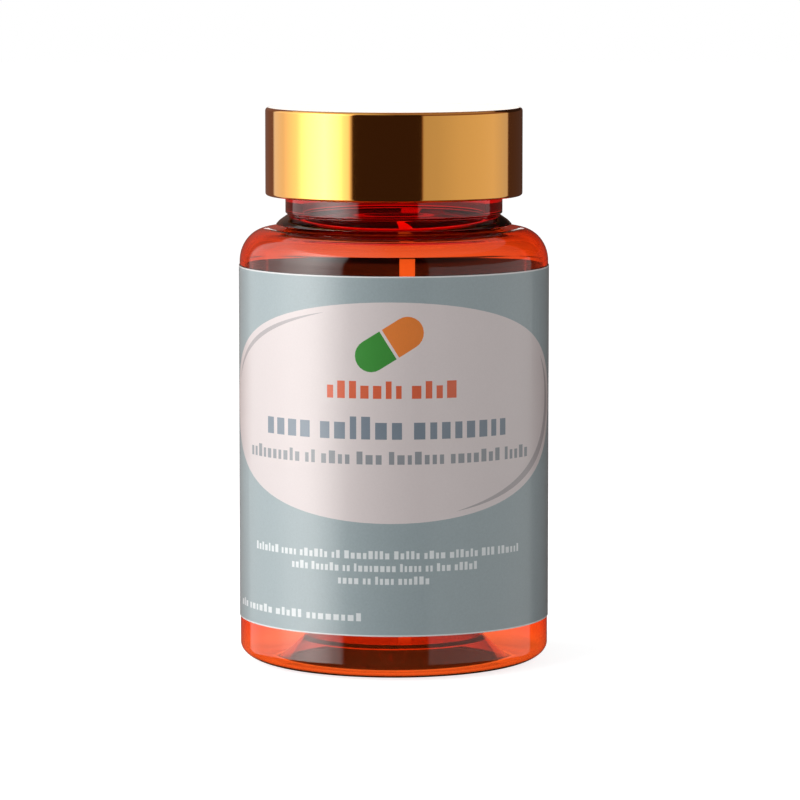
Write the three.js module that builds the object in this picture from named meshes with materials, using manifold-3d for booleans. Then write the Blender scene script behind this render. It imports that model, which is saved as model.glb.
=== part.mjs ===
// An amber capsule bottle with a wrap-round label and a gilt screw cap, in millimetres, +Z up.
// The origin is the centre of the base, on the surface that the bottle stands on.
import * as THREE from "three";
import { mergeVertices } from "three/addons/utils/BufferGeometryUtils.js";
import Module from "manifold-3d";

const wasm = await Module();
wasm.setup();

// Overall sizes
const overallHeight = 97.4;
const bodyDiameter = 54.2;
const capDiameter = 45.1;
const capHeight = 15.4;

// Body of the bottle
const bodyWall = 0.8;
const heelReach = 5.5;
const heelHeight = 3.1;
const standingRingWidth = 1.2;
const pushUpStep = 1.5;
const pushUpReach = 2;
const baseRise = 2.8;
const baseWall = 1.1;
const shoulderReach = 5.2;
const shoulderDrop = 5.8;

// Neck of the bottle, from the shoulder up; each step is measured out from the threaded wall
const neckReveal = 5.7;
const neckWall = 1.6;
const neckStep = 0.9;
const beadStep = 3.1;
const grooveStep = 1;
const collarStep = 1.45;
const beadLift = 0.65;
const beadHeight = 1.7;
const collarChamfer = 0.35;
const rimRadius = 0.45;
const neckFillet = 1.5;

// Screw thread: the ridge on the bottle, the ridge in the cap and the play between them
const threadPitch = 4.2;
const threadHeight = 1.15;
const threadRootWidth = 2;
const threadCrestWidth = 1;
const threadBelowRim = 2.4;
const threadAboveCollar = 3.3;
const capThreadRootWidth = 1.7;
const capThreadCrestWidth = 0.8;
const threadPlay = 0.25;
const flankPlay = 0.2;

// Cap: a drawn metal shell over a moulded screw insert, with a sealing disc
const shellWall = 0.4;
const shellEdgeRadius = 0.6;
const hemRadius = 0.5;
const hemReach = 1.2;
const insertPlate = 1.4;
const insertWall = 1.6;
const insertFlange = 1;
const ribCount = 30;
const ribWidth = 1.2;
const ribDepth = 1.45;
const linerThickness = 1.1;
const linerPlay = 0.3;
const seatPlay = 0.1;
const collarPlay = 0.35;

// Label, wrapped round the body with its two ends a little apart at the back
const labelFromFloor = 7.9;
const labelBelowShoulder = 0.7;
const labelThickness = 0.1;
const labelGlue = 0.05;
const labelGap = 2.9;
const labelGapTurn = -5.2;

// Facets
const turnFacets = 60;
const threadFacetsPerTurn = 30;
const labelFacets = 60;
const degree = Math.PI / 180;

// Radii, from the outside of the cap inwards to the mouth
const bodyRadius = bodyDiameter / 2;
const capRadius = capDiameter / 2;
const shellInnerRadius = capRadius - shellWall;
const insertRadius = shellInnerRadius - seatPlay;
const skirtRadius = insertRadius - ribDepth;
const insertBoreRadius = skirtRadius - insertWall;
const threadRadius = insertBoreRadius - threadPlay;
const finishRadius = threadRadius - threadHeight;
const capThreadRadius = finishRadius + threadPlay;
const mouthRadius = finishRadius - neckWall;
const neckRadius = finishRadius + neckStep;
const beadRadius = finishRadius + beadStep;
const grooveRadius = finishRadius + grooveStep;
const collarRadius = finishRadius + collarStep;

// Heights; those of the cap's own pieces are measured from its lower edge
const capBottom = overallHeight - capHeight;
const insertTop = capHeight - shellWall - seatPlay;
const insertPlateUnderside = insertTop - insertPlate;
const insertBottom = Math.max(shellWall, hemRadius) + seatPlay;
const linerTop = insertPlateUnderside - seatPlay / 2;
const linerBottom = linerTop - linerThickness;
const rimHeight = capBottom + linerBottom - seatPlay / 2;
const collarTop = capBottom + insertBottom - collarPlay;
const shoulderHeight = capBottom - neckReveal;
const shoulderStart = shoulderHeight - shoulderDrop;
const beadTip = shoulderHeight + beadLift;
const grooveHeight = beadTip + beadHeight;
const labelHeight = shoulderStart - labelBelowShoulder - labelFromFloor;
const neckThreadTop = rimHeight - threadBelowRim;
const neckThreadBottom = collarTop + threadAboveCollar;
const threadTurns = (neckThreadTop - neckThreadBottom) / threadPitch;

// A point of a section: distance from the axis, height.
function at(radius, height) {
  return new THREE.Vector2(radius, height);
}

// Points along an elliptical arc of a section, both ends included; angles in degrees.
function arc(centre, reach, rise, from, to, steps) {
  const curve = new THREE.EllipseCurve(
    centre.x, centre.y, reach, rise, from * degree, to * degree, to < from,
  );
  return curve.getPoints(steps);
}

// A closed solid from a three.js geometry, turned the right way out if its faces point inwards.
function solidOf(geometry) {
  const bare = geometry.clone();
  bare.deleteAttribute("normal");
  bare.deleteAttribute("uv");
  const merged = mergeVertices(bare, 1e-4);
  const corners = Array.from(merged.index.array);
  const kept = [];
  for (let i = 0; i < corners.length; i += 3) {
    const [a, b, c] = corners.slice(i, i + 3);
    if (a !== b && b !== c && c !== a) kept.push([a, b, c]);
  }
  const make = (faces) =>
    new wasm.Manifold(
      new wasm.Mesh({
        numProp: 3,
        vertProperties: new Float32Array(merged.attributes.position.array),
        triVerts: new Uint32Array(faces.flat()),
      }),
    );
  const solid = make(kept);
  return solid.volume() > 0 ? solid : make(kept.map(([a, b, c]) => [a, c, b]));
}

// A solid as a flat-shaded three.js geometry.
function geometryOf(solid) {
  const mesh = solid.getMesh();
  const geometry = new THREE.BufferGeometry();
  geometry.setAttribute("position", new THREE.BufferAttribute(mesh.vertProperties, 3));
  geometry.setIndex(new THREE.BufferAttribute(mesh.triVerts, 1));
  const flat = geometry.toNonIndexed();
  flat.computeVertexNormals();
  return flat;
}

// A section turned once round the upright axis.
function turned(section) {
  return solidOf(new THREE.LatheGeometry(section, turnFacets).rotateX(Math.PI / 2));
}

// A screw ridge: a four-cornered section carried up a helix, fading out at both ends.
function ridge({ rootRadius, crestRadius, rootWidth, crestWidth, bottom }) {
  const steps = Math.round(threadFacetsPerTurn * threadTurns);
  const fadeSteps = 4;
  const sunk = Math.sign(rootRadius - crestRadius) * threadHeight * 0.4;
  const positions = [];
  const faces = [];
  for (let i = 0; i <= steps; i++) {
    const angle = (i / steps) * threadTurns * 2 * Math.PI;
    const height = bottom + (i / steps) * threadTurns * threadPitch;
    const fade = Math.min(1, 0.1 + Math.min(i, steps - i) / fadeSteps);
    const crest = rootRadius + (crestRadius - rootRadius) * fade;
    const corners = [
      at(rootRadius + sunk, -rootWidth / 2),
      at(crest, -crestWidth / 2),
      at(crest, crestWidth / 2),
      at(rootRadius + sunk, rootWidth / 2),
    ];
    for (const corner of corners) {
      const x = corner.x * Math.cos(angle);
      const y = corner.x * Math.sin(angle);
      positions.push(x, y, height + corner.y);
    }
  }
  for (let i = 0; i < steps; i++) {
    for (let k = 0; k < 4; k++) {
      const a = 4 * i + k;
      const b = 4 * i + ((k + 1) % 4);
      faces.push(a, b, b + 4, a, b + 4, a + 4);
    }
  }
  const last = 4 * steps;
  faces.push(0, 2, 1, 0, 3, 2, last, last + 1, last + 2, last, last + 2, last + 3);
  const geometry = new THREE.BufferGeometry();
  geometry.setAttribute("position", new THREE.Float32BufferAttribute(positions, 3));
  geometry.setIndex(faces);
  return solidOf(geometry);
}

// Blow-moulded bottle: outside from the middle of the base up to the rim, then back down inside.
function bottleSolid() {
  const heelCentre = at(bodyRadius - heelReach, heelHeight);
  const ringInner = heelCentre.x - standingRingWidth;
  const shoulderCentre = at(bodyRadius - shoulderReach, shoulderStart);
  const rimCentre = at(finishRadius - rimRadius, rimHeight - rimRadius);
  const innerShoulder = shoulderHeight - bodyWall;
  const filletCentre = at(mouthRadius + neckFillet, innerShoulder + neckFillet);
  const domeRadius = ringInner - pushUpReach;
  const domeSteps = 3;
  const dome = (lift) =>
    Array.from({ length: domeSteps + 1 }, (_, i) => {
      const share = i / domeSteps;
      return at(domeRadius * share, lift + baseRise - (baseRise - pushUpStep) * share * share);
    });
  const outside = [
    ...dome(0),
    at(ringInner, 0),
    ...arc(heelCentre, heelReach, heelHeight, -90, 0, 6),
    ...arc(shoulderCentre, shoulderReach, shoulderDrop, 0, 90, 6),
    at(neckRadius, shoulderHeight),
    at(beadRadius, beadTip),
    at(beadRadius - (beadRadius - grooveRadius) * 0.3, beadTip + beadHeight * 0.4),
    at(grooveRadius, grooveHeight),
    at(collarRadius, grooveHeight + collarChamfer),
    at(collarRadius, collarTop - collarChamfer),
    at(collarRadius - collarChamfer, collarTop),
    at(finishRadius, collarTop),
    ...arc(rimCentre, rimRadius, rimRadius, 0, 90, 2),
  ];
  const inside = [
    at(mouthRadius, rimHeight),
    ...arc(filletCentre, neckFillet, neckFillet, 180, 270, 2),
    ...arc(shoulderCentre, shoulderReach - bodyWall, shoulderDrop - bodyWall, 90, 0, 4),
    ...arc(heelCentre, heelReach - bodyWall, heelHeight - baseWall, 0, -90, 3),
    at(ringInner, baseWall),
    ...dome(baseWall).reverse(),
  ];
  const neckThread = ridge({
    rootRadius: finishRadius,
    crestRadius: threadRadius,
    rootWidth: threadRootWidth,
    crestWidth: threadCrestWidth,
    bottom: neckThreadBottom,
  });
  return turned([...outside, ...inside]).add(neckThread);
}

// Label: a thin strip bent round the body, cut from a ring section and raised to its height.
function labelGeometry() {
  const inner = bodyRadius + labelGlue;
  const outer = inner + labelThickness;
  const halfGap = labelGap / 2 / outer;
  const back = Math.PI / 2 + labelGapTurn * degree;
  const strip = new THREE.Shape();
  strip.absarc(0, 0, outer, back + halfGap, back - halfGap + 2 * Math.PI, false);
  strip.absarc(0, 0, inner, back - halfGap + 2 * Math.PI, back + halfGap, true);
  return new THREE.ExtrudeGeometry(strip, {
    depth: labelHeight,
    bevelEnabled: false,
    curveSegments: labelFacets,
  });
}

// Drawn shell of the cap, measured from the cap's lower edge: flat top, straight side, hem rolled under.
function shellSolid() {
  const edgeCentre = at(capRadius - shellEdgeRadius, capHeight - shellEdgeRadius);
  const hemCentre = at(capRadius - hemRadius, hemRadius);
  const hemInner = Math.max(hemRadius - shellWall, 0.05);
  return turned([
    at(0, capHeight),
    ...arc(edgeCentre, shellEdgeRadius, shellEdgeRadius, 90, 0, 3),
    ...arc(hemCentre, hemRadius, hemRadius, 0, -90, 2),
    at(capRadius - hemReach, 0),
    at(capRadius - hemReach, shellWall),
    ...arc(hemCentre, hemInner, hemInner, -90, 0, 1),
    at(shellInnerRadius, capHeight - shellWall),
    at(0, capHeight - shellWall),
  ]);
}

// Moulded screw insert: plate, threaded skirt, foot flange, and ribs that grip the shell.
function insertSolid() {
  const cup = turned([
    at(0, insertTop),
    at(insertRadius, insertTop),
    at(insertRadius, insertPlateUnderside),
    at(skirtRadius, insertPlateUnderside),
    at(skirtRadius, insertBottom + insertFlange),
    at(insertRadius, insertBottom + insertFlange),
    at(insertRadius, insertBottom),
    at(insertBoreRadius, insertBottom),
    at(insertBoreRadius, insertPlateUnderside),
    at(0, insertPlateUnderside),
  ]);
  // The lower face of the cap's ridge hangs just under the bottle's ridge, which it pulls down against.
  const drop = (threadRootWidth + capThreadCrestWidth) / 2 + flankPlay;
  const capThread = ridge({
    rootRadius: insertBoreRadius,
    crestRadius: capThreadRadius,
    rootWidth: capThreadRootWidth,
    crestWidth: capThreadCrestWidth,
    bottom: neckThreadBottom - capBottom - drop,
  });
  const ribReach = ribDepth + insertWall / 2;
  const ribHeight = insertTop - insertBottom;
  const rib = new THREE.BoxGeometry(ribReach, ribWidth, ribHeight);
  rib.translate(insertRadius - ribReach / 2, 0, insertBottom + ribHeight / 2);
  let solid = cup.add(capThread);
  for (let i = 0; i < ribCount; i++) {
    const turn = (i / ribCount) * 2 * Math.PI;
    solid = solid.add(solidOf(rib.clone().rotateZ(turn)));
  }
  return solid;
}

// Sealing disc between the insert's plate and the rim of the bottle.
function linerSolid() {
  const radius = insertBoreRadius - linerPlay;
  return turned([
    at(0, linerTop),
    at(radius, linerTop),
    at(radius, linerBottom),
    at(0, linerBottom),
  ]);
}

const amberPlastic = new THREE.MeshStandardMaterial({
  color: 0xc9501c, roughness: 0.08, metalness: 0, transparent: true, opacity: 0.8,
});
const labelStock = new THREE.MeshStandardMaterial({ color: 0xa3b5b8, roughness: 0.4, metalness: 0 });
const giltMetal = new THREE.MeshStandardMaterial({ color: 0xd9a441, roughness: 0.12, metalness: 1 });
const whitePlastic = new THREE.MeshStandardMaterial({ color: 0xf1efea, roughness: 0.45, metalness: 0 });
const foamBoard = new THREE.MeshStandardMaterial({ color: 0xe6e2d8, roughness: 0.8, metalness: 0 });

function named(name, geometry, material) {
  const mesh = new THREE.Mesh(geometry, material);
  mesh.name = name;
  return mesh;
}

const label = named("label", labelGeometry(), labelStock);
label.position.z = labelFromFloor;

const cap = new THREE.Group();
cap.position.z = capBottom;
cap.add(
  named("cap_shell", geometryOf(shellSolid()), giltMetal),
  named("cap_insert", geometryOf(insertSolid()), whitePlastic),
  named("cap_liner", geometryOf(linerSolid()), foamBoard),
);

const capsuleBottle = new THREE.Group();
capsuleBottle.add(named("bottle", geometryOf(bottleSolid()), amberPlastic), label, cap);

export default capsuleBottle;
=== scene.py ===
import math
import random

import bpy
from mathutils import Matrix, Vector
from mathutils.geometry import delaunay_2d_cdt


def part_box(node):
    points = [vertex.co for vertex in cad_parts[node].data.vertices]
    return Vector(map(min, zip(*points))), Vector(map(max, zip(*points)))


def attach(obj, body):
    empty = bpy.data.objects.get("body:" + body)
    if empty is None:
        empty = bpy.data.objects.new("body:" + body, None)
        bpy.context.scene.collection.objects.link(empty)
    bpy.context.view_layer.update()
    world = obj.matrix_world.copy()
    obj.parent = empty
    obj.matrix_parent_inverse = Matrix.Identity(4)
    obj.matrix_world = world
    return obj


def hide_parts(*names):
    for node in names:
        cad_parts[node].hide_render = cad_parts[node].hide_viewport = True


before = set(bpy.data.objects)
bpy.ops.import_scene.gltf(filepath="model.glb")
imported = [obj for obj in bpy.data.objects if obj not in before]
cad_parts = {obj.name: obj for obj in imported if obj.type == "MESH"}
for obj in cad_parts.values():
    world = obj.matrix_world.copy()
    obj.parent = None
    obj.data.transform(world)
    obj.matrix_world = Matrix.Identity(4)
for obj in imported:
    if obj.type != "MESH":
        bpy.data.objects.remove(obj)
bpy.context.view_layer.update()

# Sizes in millimetres; the object's own are read from the solids in model.glb, so that they follow
# the solids.
MM = 0.001


def node_top(node):
    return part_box(node)[1][2] / MM


def node_foot(node):
    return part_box(node)[0][2] / MM


def node_radius(node):
    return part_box(node)[1][1] / MM


BODY_R = node_radius("bottle")
RIM_Z = node_top("bottle")
CAP_R = node_radius("cap_shell")
CAP_TOP = node_top("cap_shell")
CAP_FOOT = node_foot("cap_shell")
LABEL_FOOT = node_foot("label")
LABEL_TOP = node_top("label")

BODY_WALL = 0.8
HEEL_REACH = 5.5
HEEL_HEIGHT = 3.1
HEEL_BLEND = 7.75  # height at which the thinner heel has thickened to the body wall
STANDING_RING = 1.2
# The base is seen through the clear wall, so it is drawn deeper and thinner than the solid's.
PUSH_UP_STEP = 4.2
PUSH_UP_REACH = 4.7
BASE_RISE = 5.6
BASE_WALL = 0.6
SHOULDER_REACH = 5.2
SHOULDER_DROP = 5.8
NECK_REVEAL = 5.7
NECK_WALL = 1.6
NECK_STEP = 0.9
BEAD_STEP = 3.1
GROOVE_STEP = 1.0
COLLAR_STEP = 1.45
BEAD_LIFT = 0.65
BEAD_HEIGHT = 1.7
COLLAR_CHAMFER = 0.35
RIM_RADIUS = 0.45
NECK_FILLET = 1.5
SOFT_EASE = 0.35  # how far the blown corners are rounded
CRISP_EASE = 0.1  # and the sharper ones of the finish
PUSH_UP_EASE = 0.4
MILD_EASE = 0.2
BEAD_EASE = 0.12
GROOVE_EASE = 0.15
BEAD_KNEE = (0.3, 0.4)  # where the bead's upper face bends, as shares of its reach and height

THREAD_PITCH = 4.2
THREAD_HEIGHT = 1.15
THREAD_ROOT = 2.0
THREAD_CREST = 1.0
THREAD_BELOW_RIM = 2.4
THREAD_ABOVE_COLLAR = 3.3
THREAD_PLAY = 0.25
THREAD_FADE = 0.12  # turns over which each end of the ridge runs out
SCREW_START = 0.3

SHELL_WALL = 0.4
SHELL_EDGE = 0.6
HEM_RADIUS = 0.5
HEM_REACH = 1.2
INSERT_WALL = 1.6
RIB_DEPTH = 1.45
SEAT_PLAY = 0.1
COLLAR_PLAY = 0.35

LABEL_THICKNESS = 0.1
LABEL_GLUE = 0.05
LABEL_GAP = 2.9
LABEL_GAP_TURN = math.radians(-5.2)
LABEL_CUT_EDGE = 0.25

ROUND_STEPS = 192
ARC_STEPS = 24
DOME_STEPS = 16
SCREW_ROWS = 48
LABEL_COLUMNS = 180


def linear(hex_colour, alpha=1.0):
    """An sRGB hex colour as linear red, green, blue and alpha."""
    channels = [int(hex_colour[i : i + 2], 16) / 255 for i in (1, 3, 5)]
    values = [c / 12.92 if c <= 0.04045 else ((c + 0.055) / 1.055) ** 2.4 for c in channels]
    return (*values, alpha)


def add_node(tree, kind, settings=None, links=None, **attributes):
    """Adds a shader node, sets its sockets and links sockets of other nodes into it."""
    node = tree.nodes.new(kind)
    for name, value in attributes.items():
        setattr(node, name, value)
    for name, value in (settings or {}).items():
        node.inputs[name].default_value = value
    for name, source in (links or {}).items():
        tree.links.new(source, node.inputs[name])
    return node


def new_material(name):
    material = bpy.data.materials.new(name)
    material.use_nodes = True
    material.node_tree.nodes.clear()
    return material, material.node_tree


def finish_material(tree, surface, **more):
    links = {"Surface": surface.outputs[0]}
    links.update({socket: node.outputs[0] for socket, node in more.items()})
    add_node(tree, "ShaderNodeOutputMaterial", links=links)


# Materials


def amber_pet():
    """Amber PET, stretch blown in a polished mould: clear, orange where thin, red where thick."""
    material, tree = new_material("amber PET, blown")
    shader = add_node(
        tree,
        "ShaderNodeBsdfPrincipled",
        {
            "Base Color": (1, 1, 1, 1),
            "Roughness": 0.0,
            "IOR": 1.575,
            "Transmission Weight": 1.0,
        },
    )
    # Per metre: what one body wall takes from red, green and blue light.
    tint = add_node(
        tree,
        "ShaderNodeVolumeAbsorption",
        {"Color": (0.975, 0.48, 0.0, 1), "Density": 2900},
    )
    finish_material(tree, shader, Volume=tint)
    return material


def gilt_aluminium():
    """Aluminium, drawn, polished and gold anodised: a warm mirror."""
    material, tree = new_material("gold anodised aluminium")
    shader = add_node(
        tree,
        "ShaderNodeBsdfPrincipled",
        {"Base Color": linear("#F6B152"), "Metallic": 1.0, "Roughness": 0.07, "Coat Weight": 0.6},
    )
    finish_material(tree, shader)
    return material


def moulded_polypropylene():
    """White polypropylene, injection moulded: satin and slightly waxy."""
    material, tree = new_material("white polypropylene, moulded")
    shader = add_node(
        tree,
        "ShaderNodeBsdfPrincipled",
        {"Base Color": linear("#EFEDE8"), "Roughness": 0.4, "IOR": 1.49},
    )
    finish_material(tree, shader)
    return material


def foamed_polyethylene():
    """Foamed polyethylene sheet, punched to a disc: matt and off-white."""
    material, tree = new_material("foamed polyethylene")
    shader = add_node(
        tree,
        "ShaderNodeBsdfPrincipled",
        {"Base Color": linear("#E4E0D6"), "Roughness": 0.85, "IOR": 1.5},
    )
    finish_material(tree, shader)
    return material


PRINT_DOT = 0.35  # mm; offset print dots are finer, and are drawn as coarse as shows


def printed_paper(name, colour, speckle, rough=0.5, gloss=True):
    """Coated paper with an offset print: soft gloss and a fine uneven stipple of ink."""
    material, tree = new_material(name)
    place = add_node(tree, "ShaderNodeTexCoord")
    dots = add_node(
        tree,
        "ShaderNodeTexNoise",
        {"Scale": 1 / (PRINT_DOT * MM), "Detail": 2.0, "Roughness": 0.6},
        {"Vector": place.outputs["Object"]},
    )
    light = [min(1.0, c * (1 + speckle)) for c in linear(colour)[:3]]
    dark = [c * (1 - speckle) for c in linear(colour)[:3]]
    ink = add_node(
        tree,
        "ShaderNodeMixRGB",
        {"Color1": (*dark, 1), "Color2": (*light, 1)},
        {"Fac": dots.outputs["Fac"]},
    )
    shader = add_node(
        tree,
        "ShaderNodeBsdfPrincipled",
        {
            "Roughness": rough,
            "IOR": 1.5,
            "Coat Weight": 0.9 if gloss else 0.0,
            "Coat Roughness": 0.2,
        },
        {"Base Color": ink.outputs["Color"]},
    )
    finish_material(tree, shader)
    return material


# Shapes


def profile_arc(centre, reach, rise, start, end, steps):
    """Points along an elliptical arc of a section; angles in degrees."""
    points = []
    for i in range(steps + 1):
        turn = math.radians(start + (end - start) * i / steps)
        points.append((centre[0] + reach * math.cos(turn), centre[1] + rise * math.sin(turn)))
    return points


def eased(points, steps=4, most=0.45):
    """A section whose corners given as (radius, height, ease) are rounded over that length.

    A corner takes at most this share of the run on either side, so two never meet.
    """
    out = []
    for i, point in enumerate(points):
        if len(point) == 2 or point[2] == 0:
            out.append(point[:2])
            continue
        here = Vector(point[:2])
        before = Vector(points[i - 1][:2]) - here
        after = Vector(points[i + 1][:2]) - here
        start = here + before.normalized() * min(point[2], before.length * most)
        end = here + after.normalized() * min(point[2], after.length * most)
        for k in range(steps + 1):
            t = k / steps
            p = start * (1 - t) ** 2 + here * 2 * t * (1 - t) + end * t**2
            out.append((p.x, p.y))
    return out


def held(points, margin=0.06, shortest=1.2):
    """A section with a point added close to both ends of each long run.

    Smooth shading would otherwise tilt the flats, and a clear wall would act as a lens.
    """
    out = [points[0]]
    for start, end in zip(points, points[1:]):
        run = Vector(end) - Vector(start)
        if run.length > shortest:
            step = run.normalized() * margin
            out += [tuple(Vector(start) + step), tuple(Vector(end) - step)]
        out.append(end)
    return out


def mesh_object(name, vertices, faces, materials, face_material=None, sharp=30):
    mesh = bpy.data.meshes.new(name)
    mesh.from_pydata([Vector(v) * MM for v in vertices], [], faces)
    for material in materials:
        mesh.materials.append(material)
    if face_material:
        mesh.polygons.foreach_set("material_index", face_material)
    mesh.polygons.foreach_set("use_smooth", [True] * len(mesh.polygons))
    mesh.set_sharp_from_angle(angle=math.radians(sharp))
    mesh.update()
    piece = bpy.data.objects.new(name, mesh)
    bpy.context.collection.objects.link(piece)
    return piece


def turned(name, section, material, radius_at=None, steps=ROUND_STEPS, sharp=30):
    """A section from axis to axis, turned round Z; radius_at may move its points by the angle."""
    vertices = []
    rings = []
    for radius, height in section:
        if radius < 1e-6:
            rings.append([len(vertices)] * steps)
            vertices.append((0, 0, height))
            continue
        ring = []
        for i in range(steps):
            angle = 2 * math.pi * i / steps
            r = radius_at(radius, height, angle) if radius_at else radius
            ring.append(len(vertices))
            vertices.append((r * math.cos(angle), r * math.sin(angle), height))
        rings.append(ring)
    faces = []
    for low, high in zip(rings, rings[1:]):
        for i in range(steps):
            k = (i + 1) % steps
            corners = [low[i], low[k], high[k], high[i]]
            face = list(dict.fromkeys(corners))
            if len(face) > 2:
                faces.append(face)
    return mesh_object(name, vertices, faces, [material], sharp=sharp)


# Radii and heights, as the solids have them

SHELL_IN = CAP_R - SHELL_WALL
INSERT_R = SHELL_IN - SEAT_PLAY
SKIRT_R = INSERT_R - RIB_DEPTH
BORE_R = SKIRT_R - INSERT_WALL
THREAD_R = BORE_R - THREAD_PLAY
FINISH_R = THREAD_R - THREAD_HEIGHT
MOUTH_R = FINISH_R - NECK_WALL
COLLAR_TOP = CAP_FOOT + HEM_RADIUS + SEAT_PLAY - COLLAR_PLAY
SHOULDER_Z = CAP_FOOT - NECK_REVEAL
SHOULDER_START = SHOULDER_Z - SHOULDER_DROP
BEAD_TIP = SHOULDER_Z + BEAD_LIFT
GROOVE_Z = BEAD_TIP + BEAD_HEIGHT
THREAD_TOP = RIM_Z - THREAD_BELOW_RIM
THREAD_FOOT = COLLAR_TOP + THREAD_ABOVE_COLLAR
THREAD_TURNS = (THREAD_TOP - THREAD_FOOT) / THREAD_PITCH


def on_ridge(height, angle):
    """How much of the screw ridge's height stands at this place, 0 to 1."""
    best = 0.0
    for turn in range(-1, 3):
        along = angle / (2 * math.pi) + turn
        if not 0 <= along <= THREAD_TURNS:
            continue
        off = abs(height - THREAD_FOOT - along * THREAD_PITCH)
        flank = (THREAD_ROOT - THREAD_CREST) / 2
        rise = min(1.0, max(0.0, (THREAD_ROOT / 2 - off) / flank))
        ends = min(1.0, min(along, THREAD_TURNS - along) / THREAD_FADE)
        best = max(best, rise * ends)
    return best


def bottle_piece(material):
    heel = (BODY_R - HEEL_REACH, HEEL_HEIGHT)
    ring_inner = heel[0] - STANDING_RING
    shoulder = (BODY_R - SHOULDER_REACH, SHOULDER_START)
    inner_shoulder = SHOULDER_Z - BODY_WALL
    fillet = (MOUTH_R + NECK_FILLET, inner_shoulder + NECK_FILLET)
    rim = (FINISH_R - RIM_RADIUS, RIM_Z - RIM_RADIUS)
    bead_r = FINISH_R + BEAD_STEP
    groove_r = FINISH_R + GROOVE_STEP
    collar_r = FINISH_R + COLLAR_STEP
    bead_knee = (
        bead_r - (bead_r - groove_r) * BEAD_KNEE[0],
        BEAD_TIP + BEAD_HEIGHT * BEAD_KNEE[1],
    )

    dome_radius = ring_inner - PUSH_UP_REACH

    def dome(lift):
        fall = BASE_RISE - PUSH_UP_STEP
        shares = [i / DOME_STEPS for i in range(DOME_STEPS)]
        points = [(dome_radius * s, lift + BASE_RISE - fall * s * s) for s in shares]
        return [*points, (dome_radius, lift + PUSH_UP_STEP, PUSH_UP_EASE)]

    screw_low = COLLAR_TOP + SCREW_START
    screw_run = RIM_Z - RIM_RADIUS - SCREW_START - screw_low
    screw = [(FINISH_R, screw_low + screw_run * i / SCREW_ROWS) for i in range(SCREW_ROWS + 1)]
    outside = eased(
        [
            *dome(0),
            (ring_inner, 0, SOFT_EASE),
            *profile_arc(heel, HEEL_REACH, HEEL_HEIGHT, -90, 0, ARC_STEPS),
            *profile_arc(shoulder, SHOULDER_REACH, SHOULDER_DROP, 0, 90, ARC_STEPS),
            (FINISH_R + NECK_STEP, SHOULDER_Z, SOFT_EASE),
            (bead_r, BEAD_TIP, BEAD_EASE),
            (*bead_knee, MILD_EASE),
            (groove_r, GROOVE_Z, GROOVE_EASE),
            (collar_r, GROOVE_Z + COLLAR_CHAMFER, CRISP_EASE),
            (collar_r, COLLAR_TOP - COLLAR_CHAMFER, CRISP_EASE),
            (collar_r - COLLAR_CHAMFER, COLLAR_TOP, CRISP_EASE),
            (FINISH_R, COLLAR_TOP, MILD_EASE),
            *screw,
            *profile_arc(rim, RIM_RADIUS, RIM_RADIUS, 0, 90, 6),
        ]
    )
    inside = eased([
        (MOUTH_R, RIM_Z),
        *profile_arc(fillet, NECK_FILLET, NECK_FILLET, 180, 270, 12),
        *profile_arc(
            shoulder, SHOULDER_REACH - BODY_WALL, SHOULDER_DROP - BODY_WALL, 90, 0, ARC_STEPS
        ),
        (BODY_R - BODY_WALL, HEEL_BLEND),
        *profile_arc(heel, HEEL_REACH - BASE_WALL, HEEL_HEIGHT - BASE_WALL, 0, -90, ARC_STEPS),
        (ring_inner, BASE_WALL, SOFT_EASE),
        *reversed(dome(BASE_WALL)),
    ])

    def with_thread(radius, height, angle):
        if abs(radius - FINISH_R) > 1e-4:
            return radius
        return radius + THREAD_HEIGHT * on_ridge(height, angle)

    bottle = turned("bottle_amber", held([*outside, *inside]), material, with_thread, sharp=50)
    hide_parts("bottle")
    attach(bottle, "bottle")


def shell_piece(material):
    edge = (CAP_R - SHELL_EDGE, CAP_TOP - SHELL_EDGE)
    hem = (CAP_R - HEM_RADIUS, CAP_FOOT + HEM_RADIUS)
    hem_inner = HEM_RADIUS - SHELL_WALL
    section = [
        (0, CAP_TOP),
        *profile_arc(edge, SHELL_EDGE, SHELL_EDGE, 90, 0, 8),
        *profile_arc(hem, HEM_RADIUS, HEM_RADIUS, 0, -90, 8),
        (CAP_R - HEM_REACH, CAP_FOOT),
        (CAP_R - HEM_REACH, CAP_FOOT + SHELL_WALL),
        *profile_arc(hem, hem_inner, hem_inner, -90, 0, 4),
        (SHELL_IN, CAP_TOP - SHELL_WALL),
        (0, CAP_TOP - SHELL_WALL),
    ]
    shell = turned("cap_shell_gilt", held(section[::-1]), material)
    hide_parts("cap_shell")
    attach(shell, "cap")


# Label artwork, in millimetres: along the label from the print's centre line, and above the floor

LABEL_IN = BODY_R + LABEL_GLUE
LABEL_OUT = LABEL_IN + LABEL_THICKNESS
PRINT_TURN = math.radians(-2.1)
PANEL_CENTRE = (0.3, 46.4)
PANEL_REACH = (39.4, 19.0)
MOTIF_CENTRE = (0.2, 58.2)
MOTIF_LENGTH = 13.0
MOTIF_WIDTH = 5.6
MOTIF_TILT = math.radians(32)
MOTIF_GAP = 0.25  # half of the bare line between the two tones
BLOCK_WIDTHS = (0.7, 1.3)
BLOCK_SPLIT = 0.55  # between blocks of a word, for a mean block of 1
WORD_SPACE = 1.3
LOW_BLOCK = 0.74  # height of the lower blocks, for a tall one of 1


def ellipse_outline(centre, reach, steps=96):
    """A whole ellipse, without its first point again at the end."""
    return profile_arc(centre, *reach, 0, 360, steps)[:-1]


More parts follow.
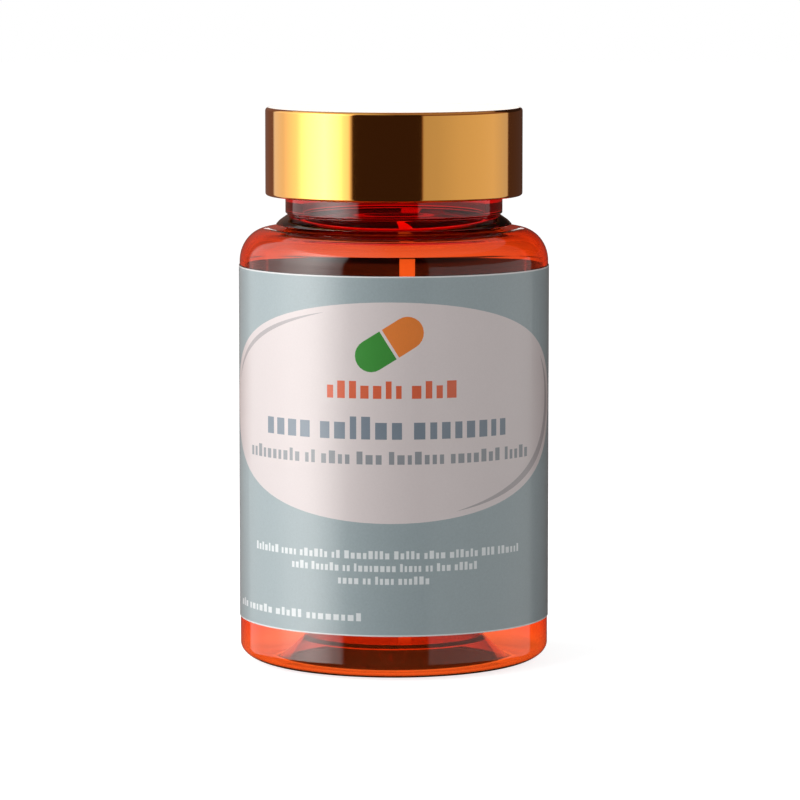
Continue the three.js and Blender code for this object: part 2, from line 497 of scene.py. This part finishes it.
def crescent_outline(start, end, inset, width, steps=28):
    """A swoosh a little inside the panel's edge, widest in the middle; angles in degrees."""
    sideways, fullness = 1.6, 0.8
    outer = []
    inner = []
    for i in range(steps + 1):
        share = i / steps
        turn = math.radians(start + (end - start) * share)
        swell = width * math.sin(math.pi * share) ** fullness
        for line, depth in ((outer, inset), (inner, inset + swell)):
            line.append(
                (
                    PANEL_CENTRE[0] + (PANEL_REACH[0] - depth * sideways) * math.cos(turn),
                    PANEL_CENTRE[1] + (PANEL_REACH[1] - depth) * math.sin(turn),
                )
            )
    return outer + inner[-2:0:-1]


def capsule_outline(part, steps=12):
    """One half of the tilted two-tone capsule: part -1 is the lower end, +1 the upper one."""
    end = MOTIF_WIDTH / 2
    straight = MOTIF_LENGTH / 2 - end
    cap = profile_arc((straight, 0), end, end, -90, 90, steps)
    outline = [(MOTIF_GAP, -end), *cap, (MOTIF_GAP, end)]
    c, s = part * math.cos(MOTIF_TILT), part * math.sin(MOTIF_TILT)
    return [(MOTIF_CENTRE[0] + x * c - y * s, MOTIF_CENTRE[1] + x * s + y * c) for x, y in outline]


def blocks(start, end, foot, top, words, seed):
    """A line of plain blocks in place of words: each entry of words is a count of blocks."""
    draw = random.Random(seed)
    widths = [[draw.uniform(*BLOCK_WIDTHS) for _ in range(count)] for count in words]
    total = sum(sum(w) + BLOCK_SPLIT * (len(w) - 1) for w in widths)
    total += WORD_SPACE * (len(words) - 1)
    unit = (end - start) / total
    out = []
    place = start
    for word in widths:
        for width in word:
            tall = foot + (top - foot) * draw.choice((LOW_BLOCK, LOW_BLOCK, 1.0))
            right = place + width * unit
            out.append([(place, foot), (right, foot), (right, tall), (place, tall)])
            place = right + BLOCK_SPLIT * unit
        place += (WORD_SPACE - BLOCK_SPLIT) * unit
    return out


def artwork():
    """Printed shapes from the back layer to the front one, as (outline, ink)."""
    shapes = [
        (ellipse_outline(PANEL_CENTRE, PANEL_REACH), "panel"),
        (crescent_outline(108, 168, inset=1.0, width=0.7), "grey"),
        (crescent_outline(-72, 28, inset=1.0, width=1.2), "grey"),
        (capsule_outline(1), "orange"),
        (capsule_outline(-1), "green"),
    ]
    # Lines of blocks: ink, start and end along the label, foot and top, blocks in each word, seed
    lines = [
        ("vermilion", -10.8, 12.0, 48.9, 51.9, (7, 4), 3),
        ("slate", -24.2, 22.3, 41.9, 45.8, (4, 6, 8), 5),
        ("dim", -29.8, 28.5, 37.6, 39.8, (10, 2, 4, 3, 7, 7, 5), 7),
        ("white", -28.0, 25.8, 21.3, 22.7, (7, 4, 6, 2, 8, 5, 4, 6, 3, 6), 9),
        ("white", -18.1, 16.0, 19.1, 20.5, (4, 6, 2, 8, 5, 2, 3, 5), 11),
        ("white", -8.8, 7.1, 16.9, 18.3, (4, 2, 4, 6), 13),
        ("white", -35.5, -4.7, 10.5, 11.9, (3, 6, 5, 8), 15),
    ]
    for ink, start, end, foot, top, words, seed in lines:
        shapes += [(outline, ink) for outline in blocks(start, end, foot, top, words, seed)]
    return shapes


def label_piece(inks, back_material):
    """A strip bent round the body, its print cut into the outer face as areas of ink."""
    half_gap = LABEL_GAP / 2 / LABEL_OUT
    gap_turn = math.pi + LABEL_GAP_TURN
    left = (gap_turn + half_gap - 2 * math.pi - PRINT_TURN) * LABEL_OUT
    right = (gap_turn - half_gap - PRINT_TURN) * LABEL_OUT
    points = []
    edges = []
    faces = []

    def add_loop(outline):
        first = len(points)
        points.extend(Vector(p) for p in outline)
        loop = list(range(first, len(points)))
        faces.append(loop)
        edges.extend((a, b) for a, b in zip(loop, loop[1:] + loop[:1]))

    for inset in (0, LABEL_CUT_EDGE):
        low, high = LABEL_FOOT + inset, LABEL_TOP - inset
        add_loop([(left, low), (right, low), (right, high), (left, high)])
    names = ["paper", "ground"]
    for outline, ink in artwork():
        add_loop(outline)
        names.append(ink)
    for i in range(1, LABEL_COLUMNS):
        s = left + (right - left) * i / LABEL_COLUMNS
        edges.append((len(points), len(points) + 1))
        points.extend((Vector((s, LABEL_FOOT)), Vector((s, LABEL_TOP))))
    flat, _, triangles, _, _, sources = delaunay_2d_cdt(points, edges, faces, 0, 1e-5)

    def wrapped(s, z, radius):
        turn = s / LABEL_OUT + PRINT_TURN
        return (radius * math.sin(turn), -radius * math.cos(turn), z)

    count = len(flat)
    vertices = [wrapped(*p, radius) for radius in (LABEL_OUT, LABEL_IN) for p in flat]
    order = list(inks)
    mesh_faces = []
    picked = []
    sides = {}
    for triangle, covers in zip(triangles, sources):
        if not covers:
            continue
        a, b, c = triangle
        mesh_faces.append((a, b, c))
        picked.append(order.index(names[max(covers)]))
        mesh_faces.append((c + count, b + count, a + count))
        picked.append(len(order))
        for start, end in ((a, b), (b, c), (c, a)):
            sides[(start, end)] = True
    for start, end in sides:
        if (end, start) not in sides:
            mesh_faces.append((end, start, start + count, end + count))
            picked.append(order.index("paper"))
    materials = [*inks.values(), back_material]
    label = mesh_object("label_printed", vertices, mesh_faces, materials, picked, sharp=40)
    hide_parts("label")
    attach(label, "bottle")


# Stage


def seen_only_in_gloss(piece):
    piece.visible_camera = False
    piece.visible_diffuse = False
    piece.visible_transmission = False
    piece.visible_volume_scatter = False
    piece.visible_shadow = False


# The studio, in metres
LAMP_LIFT = 0.002
SWEEP_SIZE = 6.0
DARK_STRIP = (1.17, 1.25)  # an unlit strip of the sweep behind the bottle, painted shade that only rays through the bottle see, so the thick neck shows dark
FLOOR_NEAR = 0.8  # how bright the sweep is at the bottle, where 1 is white
FLOOR_FAR = 0.89
FLOOR_THROUGH = 0.95  # and as seen through the bottle
BACKDROP_END = (0.32, 0.45)  # sines of the angles at which the backdrop starts and ends to fade
CEILING = 0.04

# What the cap and bottle mirror: degrees to the right of the camera, and the brightness there
ROOM = [
    (-180, 0.18),
    (-135, 0.18),
    (-133, 0.9),
    (-115, 0.95),
    (-95, 1.6),
    (-82, 3.0),
    (-63, 4.4),
    (-50, 3.0),
    (-45, 1.9),
    (-39, 1.5),
    (-37, 0.036),
    (24, 0.036),
    (26, 0.55),
    (38, 0.57),
    (60, 0.68),
    (98, 0.78),
    (120, 0.6),
    (122, 0.07),
    (180, 0.07),
]


def room_brightness(turn):
    for (start, low), (end, high) in zip(ROOM, ROOM[1:]):
        if turn <= end:
            return low + (high - low) * (turn - start) / (end - start)
    return ROOM[-1][1]


def mirrored_room():
    """The softboxes and the dark studio between them, as the gilt cap mirrors them."""
    radius, foot, middle, top = 500, -200, 150, 480
    steps = 180
    # Higher up the left softbox stays bright and the right one fades.
    upper_left, upper_right = 1.2, 0.35
    # Behind the bottle a strip of the backdrop is lit, and the cap's flat top mirrors it.
    strip_turn, strip_foot, strip_top = 173, 113, 127
    strip_level, above_strip = 1.3, 0.15
    # The ceiling is lit from the left; the ground is nearly dark.
    ceiling, ceiling_edge, ceiling_left, ground_share = 0.3, 0.4, 1.0, 0.05
    lid_radius = radius * 1.02
    vertices = []
    faces = []
    brightness = []

    def panel(start, end, low, high, levels):
        first = len(vertices)
        for turn, z, level in ((start, low, 0), (end, low, 1), (end, high, 1), (start, high, 0)):
            angle = math.radians(turn)
            vertices.append((radius * math.sin(angle), -radius * math.cos(angle), z))
            brightness.append(levels[level])
        faces.append(tuple(range(first, first + 4)))

    for i in range(steps):
        start, end = (-180 + 360 * (i + k) / steps for k in (0, 1))
        levels = (room_brightness(start), room_brightness(end))
        if abs(start + end) / 2 > strip_turn:
            panel(start, end, foot, strip_foot, levels)
            panel(start, end, strip_foot, strip_top, (strip_level, strip_level))
            panel(start, end, strip_top, top, (above_strip, above_strip))
        else:
            upper = upper_left if start < 0 else upper_right
            panel(start, end, foot, middle, levels)
            panel(start, end, middle, top, [level * upper for level in levels])
    for height, share in ((top, 1.0), (foot, ground_share)):
        hub = len(vertices)
        vertices.append((0, 0, height))
        brightness.append(ceiling * share)
        for i in range(steps):
            angle = 2 * math.pi * i / steps
            vertices.append((lid_radius * math.sin(angle), -lid_radius * math.cos(angle), height))
            brightness.append((ceiling_edge - ceiling_left * min(0, math.sin(angle))) * share)
        faces += [(hub, hub + 1 + i, hub + 1 + (i + 1) % steps) for i in range(steps)]
    material, tree = new_material("studio seen in reflections")
    level = add_node(tree, "ShaderNodeAttribute", attribute_name="brightness")
    # The dark walls of the studio are brown, the softboxes nearly white.
    lit = add_node(
        tree,
        "ShaderNodeMapRange",
        {"From Min": 0.2, "From Max": 0.5},
        {"Value": level.outputs["Fac"]},
    )
    tint = add_node(
        tree,
        "ShaderNodeMixRGB",
        {"Color1": (1.0, 0.54, 0.42, 1), "Color2": (1.0, 0.97, 0.94, 1)},
        {"Fac": lit.outputs["Result"]},
    )
    shader = add_node(
        tree,
        "ShaderNodeEmission",
        links={"Color": tint.outputs[0], "Strength": level.outputs["Fac"]},
    )
    finish_material(tree, shader)
    room = mesh_object("studio walls", vertices, faces, [material])
    room.data.attributes.new("brightness", "FLOAT", "POINT")
    room.data.attributes["brightness"].data.foreach_set("value", brightness)
    seen_only_in_gloss(room)


def softbox(name, turn, distance, width, height, radiance):
    """An upright rectangular lamp that stands on the floor and faces the bottle."""
    data = bpy.data.lights.new(name, "AREA")
    data.shape = "RECTANGLE"
    data.size = width
    data.size_y = height
    data.energy = radiance * math.pi * width * height
    lamp = bpy.data.objects.new(name, data)
    bpy.context.collection.objects.link(lamp)
    angle = math.radians(turn)
    centre = Vector(
        (distance * math.sin(angle), -distance * math.cos(angle), height / 2 + LAMP_LIFT)
    )
    lamp.location = centre
    aim = Vector((0, 0, centre.z)) - centre
    lamp.rotation_euler = aim.to_track_quat("-Z", "Y").to_euler()
    lamp.visible_camera = False
    lamp.visible_transmission = False
    lamp.visible_glossy = False


def pale_floor():
    bpy.ops.mesh.primitive_plane_add(size=SWEEP_SIZE, location=(0, 0, 0))
    floor = bpy.context.object
    floor.name = "floor"
    material, tree = new_material("white sweep")
    paint = add_node(tree, "ShaderNodeBsdfDiffuse", {"Color": (0.8, 0.8, 0.8, 1)})
    place = add_node(tree, "ShaderNodeTexCoord")
    reach = add_node(
        tree,
        "ShaderNodeVectorMath",
        links={0: place.outputs["Object"]},
        operation="LENGTH",
    )
    # Under the bottle the sweep keeps its shade.
    open_floor = add_node(
        tree,
        "ShaderNodeMapRange",
        {
            "From Min": (BODY_R - HEEL_REACH - STANDING_RING) * MM,
            "From Max": (BODY_R - HEEL_REACH) * MM,
        },
        {"Value": reach.outputs["Value"]},
    )
    path = add_node(tree, "ShaderNodeLightPath")
    # Near the bottle the camera sees the floor a little darker, so its shadow shows.
    near = add_node(
        tree,
        "ShaderNodeMapRange",
        {
            "From Min": BODY_R * MM,
            "From Max": 6 * BODY_R * MM,
            "To Min": FLOOR_NEAR,
            "To Max": FLOOR_FAR,
        },
        {"Value": reach.outputs["Value"]},
    )
    shade = add_node(
        tree,
        "ShaderNodeMix",
        {2: FLOOR_THROUGH},
        {0: path.outputs["Is Camera Ray"], 3: near.outputs["Result"]},
    )
    lit = add_node(
        tree,
        "ShaderNodeMath",
        links={0: open_floor.outputs["Result"], 1: shade.outputs[0]},
        operation="MULTIPLY",
    ).outputs[0]
    # Painted shade: inside the dark strip the sweep has no glow for rays through the bottle.
    half_strip = (DARK_STRIP[1] - DARK_STRIP[0]) / 2
    in_dark_strip = add_node(
        tree,
        "ShaderNodeMath",
        {1: DARK_STRIP[0] + half_strip, 2: half_strip},
        {0: reach.outputs["Value"]},
        operation="COMPARE",
    )
    unlit = add_node(
        tree,
        "ShaderNodeMath",
        {0: 1.0},
        {1: in_dark_strip.outputs[0]},
        operation="SUBTRACT",
    )
    shown = add_node(
        tree,
        "ShaderNodeMath",
        links={0: unlit.outputs[0], 1: path.outputs["Is Camera Ray"]},
        operation="MAXIMUM",
    )
    backlight = add_node(
        tree,
        "ShaderNodeMath",
        links={0: lit, 1: shown.outputs[0]},
        operation="MULTIPLY",
    )
    glow = add_node(
        tree,
        "ShaderNodeEmission",
        {"Color": (1, 1, 1, 1)},
        {"Strength": backlight.outputs[0]},
    )
    both = add_node(
        tree, "ShaderNodeAddShader", links={0: paint.outputs[0], 1: glow.outputs[0]}
    )
    seen = any_ray(tree, path)
    mix = add_node(
        tree,
        "ShaderNodeMixShader",
        links={0: seen.outputs[0], 1: paint.outputs[0], 2: both.outputs[0]},
    )
    finish_material(tree, mix)
    floor.data.materials.append(material)
    # The bottle stood on a narrow stand: it mirrors the dark studio below, not a floor.
    floor.visible_glossy = False


def any_ray(tree, path):
    """1 for rays from the camera, from a reflection or through something clear."""
    first = add_node(
        tree,
        "ShaderNodeMath",
        links={0: path.outputs["Is Camera Ray"], 1: path.outputs["Is Glossy Ray"]},
        operation="MAXIMUM",
    )
    return add_node(
        tree,
        "ShaderNodeMath",
        links={0: first.outputs[0], 1: path.outputs["Is Transmission Ray"]},
        operation="MAXIMUM",
    )


def white_world(fill):
    world = bpy.data.worlds.new("white studio")
    world.use_nodes = True
    tree = world.node_tree
    tree.nodes.clear()
    path = add_node(tree, "ShaderNodeLightPath")
    seen = any_ray(tree, path)
    place = add_node(tree, "ShaderNodeTexCoord")
    height = add_node(tree, "ShaderNodeSeparateXYZ", links={"Vector": place.outputs["Generated"]})
    # The white backdrop ends some way up, and the ceiling over it is dark.
    backdrop = add_node(
        tree,
        "ShaderNodeMapRange",
        {
            "From Min": BACKDROP_END[0],
            "From Max": BACKDROP_END[1],
            "To Min": 1.0,
            "To Max": CEILING,
        },
        {"Value": height.outputs["Z"]},
    )
    above = add_node(
        tree,
        "ShaderNodeMath",
        links={0: backdrop.outputs["Result"], 1: path.outputs["Is Camera Ray"]},
        operation="MAXIMUM",
    )
    dim = add_node(tree, "ShaderNodeBackground", {"Color": (1, 1, 1, 1), "Strength": fill})
    white = add_node(
        tree,
        "ShaderNodeBackground",
        {"Color": (1, 1, 1, 1)},
        {"Strength": above.outputs[0]},
    )
    mix = add_node(
        tree,
        "ShaderNodeMixShader",
        links={0: seen.outputs[0], 1: dim.outputs[0], 2: white.outputs[0]},
    )
    add_node(tree, "ShaderNodeOutputWorld", links={"Surface": mix.outputs[0]})
    bpy.context.scene.world = world


# The photograph's view, fitted to the ellipses of the cap, the label and the base
CAMERA_PLACE = Vector((0, -822.1, 134.0)) * MM
CAMERA_AIM = Vector((0, 0, 45.8)) * MM
SENSOR_WIDTH = 36
LENS = 211.1
SHIFT_X = 0.0076


def photo_camera():
    data = bpy.data.cameras.new("camera")
    data.sensor_width = SENSOR_WIDTH
    data.lens = LENS
    data.shift_x = SHIFT_X
    camera = bpy.data.objects.new("camera", data)
    bpy.context.collection.objects.link(camera)
    camera.location = CAMERA_PLACE
    camera.rotation_euler = (CAMERA_AIM - CAMERA_PLACE).to_track_quat("-Z", "Y").to_euler()
    bpy.context.scene.camera = camera


# Making

photo_camera()
bottle_piece(amber_pet())
shell_piece(gilt_aluminium())
inks = {
    "paper": printed_paper("coated paper, cut edge", "#E4E6E6", 0.03),
    "ground": printed_paper("blue-grey ink on coated paper", "#9EADB1", 0.10),
    "panel": printed_paper("unprinted coated paper", "#E2D7D6", 0.03),
    "grey": printed_paper("grey ink on coated paper", "#B4ACAE", 0.05),
    "orange": printed_paper("orange ink on coated paper", "#EE8128", 0.05),
    "green": printed_paper("green ink on coated paper", "#33902F", 0.05),
    "vermilion": printed_paper("vermilion ink on coated paper", "#DE5F35", 0.05),
    "slate": printed_paper("slate ink on coated paper", "#7A8794", 0.05),
    "dim": printed_paper("mid grey ink on coated paper", "#92969B", 0.05),
    "white": printed_paper("white lines left in the print", "#E6EBEC", 0.02),
}
label_piece(inks, printed_paper("uncoated label back", "#6A686A", 0.03, 0.8, gloss=False))
inner_pieces = {"cap_insert": moulded_polypropylene(), "cap_liner": foamed_polyethylene()}
for node, material in inner_pieces.items():
    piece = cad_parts[node]
    piece.data.materials.clear()
    piece.data.materials.append(material)

white_world(fill=0.15)
pale_floor()
softbox("left softbox", turn=-74, distance=0.55, width=1.1, height=0.8, radiance=2.15)
softbox("right softbox", turn=74, distance=0.55, width=1.15, height=0.8, radiance=0.56)
mirrored_room()

view = bpy.context.scene.view_settings
view.view_transform = "Standard"
